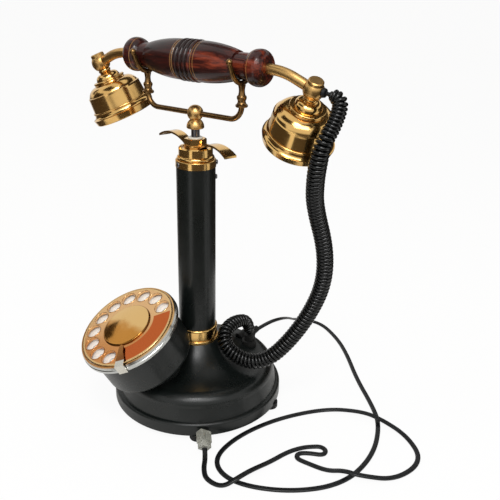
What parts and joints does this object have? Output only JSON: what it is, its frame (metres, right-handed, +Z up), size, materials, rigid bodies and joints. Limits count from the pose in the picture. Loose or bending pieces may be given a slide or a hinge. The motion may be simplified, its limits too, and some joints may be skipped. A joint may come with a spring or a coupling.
{
  "type": "rotary telephone",
  "caption": "Column-type desk telephone with a turned wooden handset on a sprung cradle, a rotary finger dial, a bell-shaped base, a curly handset cord and a flat line cord",
  "frame": {"origin": "on the table, on the axis of the column", "axes": "+Z up along the column, -Y the way the dial faces, +X to the right of a person facing the dial"},
  "size_m": [0.2944, 0.2691, 0.2936],
  "materials": {
    "black_enamel": "satin black enamel",
    "rubber": "black rubber",
    "steel": "plain steel",
    "spring_steel": "spring steel",
    "brass": "polished lacquered brass",
    "bronze": "aged bronze",
    "copper": "polished copper tone",
    "nickel": "nickel plate",
    "white_enamel": "white enamel",
    "nylon": "white nylon",
    "rosewood": "lacquered rosewood",
    "capsule_plastic": "moulded plastic",
    "circuit": "laminate board",
    "cord_black": "soft glossy vinyl",
    "clear_plastic": "clear plastic"
  },
  "bodies": {
    "base": {"base_plate": "black_enamel", "base_shell": "black_enamel", "cap_nut": "brass", "cap_screws": "steel", "carrying_wings": "brass", "circuit_board": "circuit", "column_cap": "brass", "column_collar": "brass", "column_stem": "steel", "column_tube": "black_enamel", "cord_glands": "rubber", "dial_bezel": "nickel", "dial_frame": "steel", "dial_housing": "black_enamel", "finger_stop": "nickel", "foot_screws": "steel", "hook_bracket": "steel", "hook_contacts": "brass", "housing_screws": "steel", "line_cord": "cord_black", "line_plug": "clear_plastic", "number_plate": "white_enamel", "plug_contacts": "brass", "plunger_bush": "nylon", "return_spring": "spring_steel", "ringer_coils": "capsule_plastic", "ringer_frame": "steel", "ringer_gongs": "brass", "rubber_feet": "rubber", "stem_nut": "steel"},
    "cradle": {"plunger_rod": "steel", "plunger_spring": "spring_steel", "cradle_bell": "brass", "cradle_ball": "brass", "cradle_rod": "bronze", "left_ferrule": "bronze", "right_ferrule": "bronze", "left_fork": "bronze", "right_fork": "bronze"},
    "handset": {"handle": "rosewood", "left_arm": "brass", "right_arm": "brass", "left_elbow": "brass", "right_elbow": "brass", "receiver_cup": "brass", "receiver_cap": "brass", "receiver_unit": "capsule_plastic", "transmitter_cup": "brass", "transmitter_cap": "brass", "transmitter_unit": "capsule_plastic", "handset_sleeve": "rubber", "handset_cord": "cord_black"},
    "dial": {"finger_wheel": "copper", "wheel_cap": "brass", "dial_shaft": "steel", "main_gear": "brass"},
    "governor": {"governor_rotor": "brass"},
    "hook_lever": {"hook_lever": "steel"},
    "clapper": {"ringer_clapper": "brass"}
  },
  "joints": [
    {"name": "cradle_slide", "type": "slide", "parent": "base", "child": "cradle", "axis": [0, 0, 1], "range_m": [0, 0.0045], "stiffness_N_per_m": 250, "springref_m": 0.012, "deforming": ["plunger_spring"]},
    {"name": "handset_lift", "type": "slide", "parent": "cradle", "child": "handset", "axis": [0, 0, 1], "range_m": [0, 0.12], "deforming": ["handset_cord"]},
    {"name": "dial_turn", "type": "hinge", "parent": "base", "child": "dial", "pos_m": [0, -0.0646, 0.0839], "axis": [0, 0.4848, -0.8746], "range_deg": [0, 325], "stiffness_Nm_per_rad": 0.012, "springref_deg": -45.84},
    {"name": "governor_spin", "type": "hinge", "parent": "base", "child": "governor", "pos_m": [-0.01973, -0.07088, 0.08042], "axis": [0, 0.4848, -0.8746], "range_deg": [-1950, 0]},
    {"name": "hook_turn", "type": "hinge", "parent": "base", "child": "hook_lever", "pos_m": [-0.014, 0, 0.036], "axis": [0, -1, 0], "range_deg": [0, 18.5]},
    {"name": "clapper_swing", "type": "hinge", "parent": "base", "child": "clapper", "pos_m": [0, 0.021, 0.016], "axis": [0, 0, 1], "range_deg": [-8, 8], "stiffness_Nm_per_rad": 0.004}
  ],
  "couplings": [
    {"joint": "governor_spin", "follows": "dial_turn", "ratio": -6},
    {"joint": "hook_turn", "follows": "cradle_slide", "rad_per_m": 71.4}
  ]
}
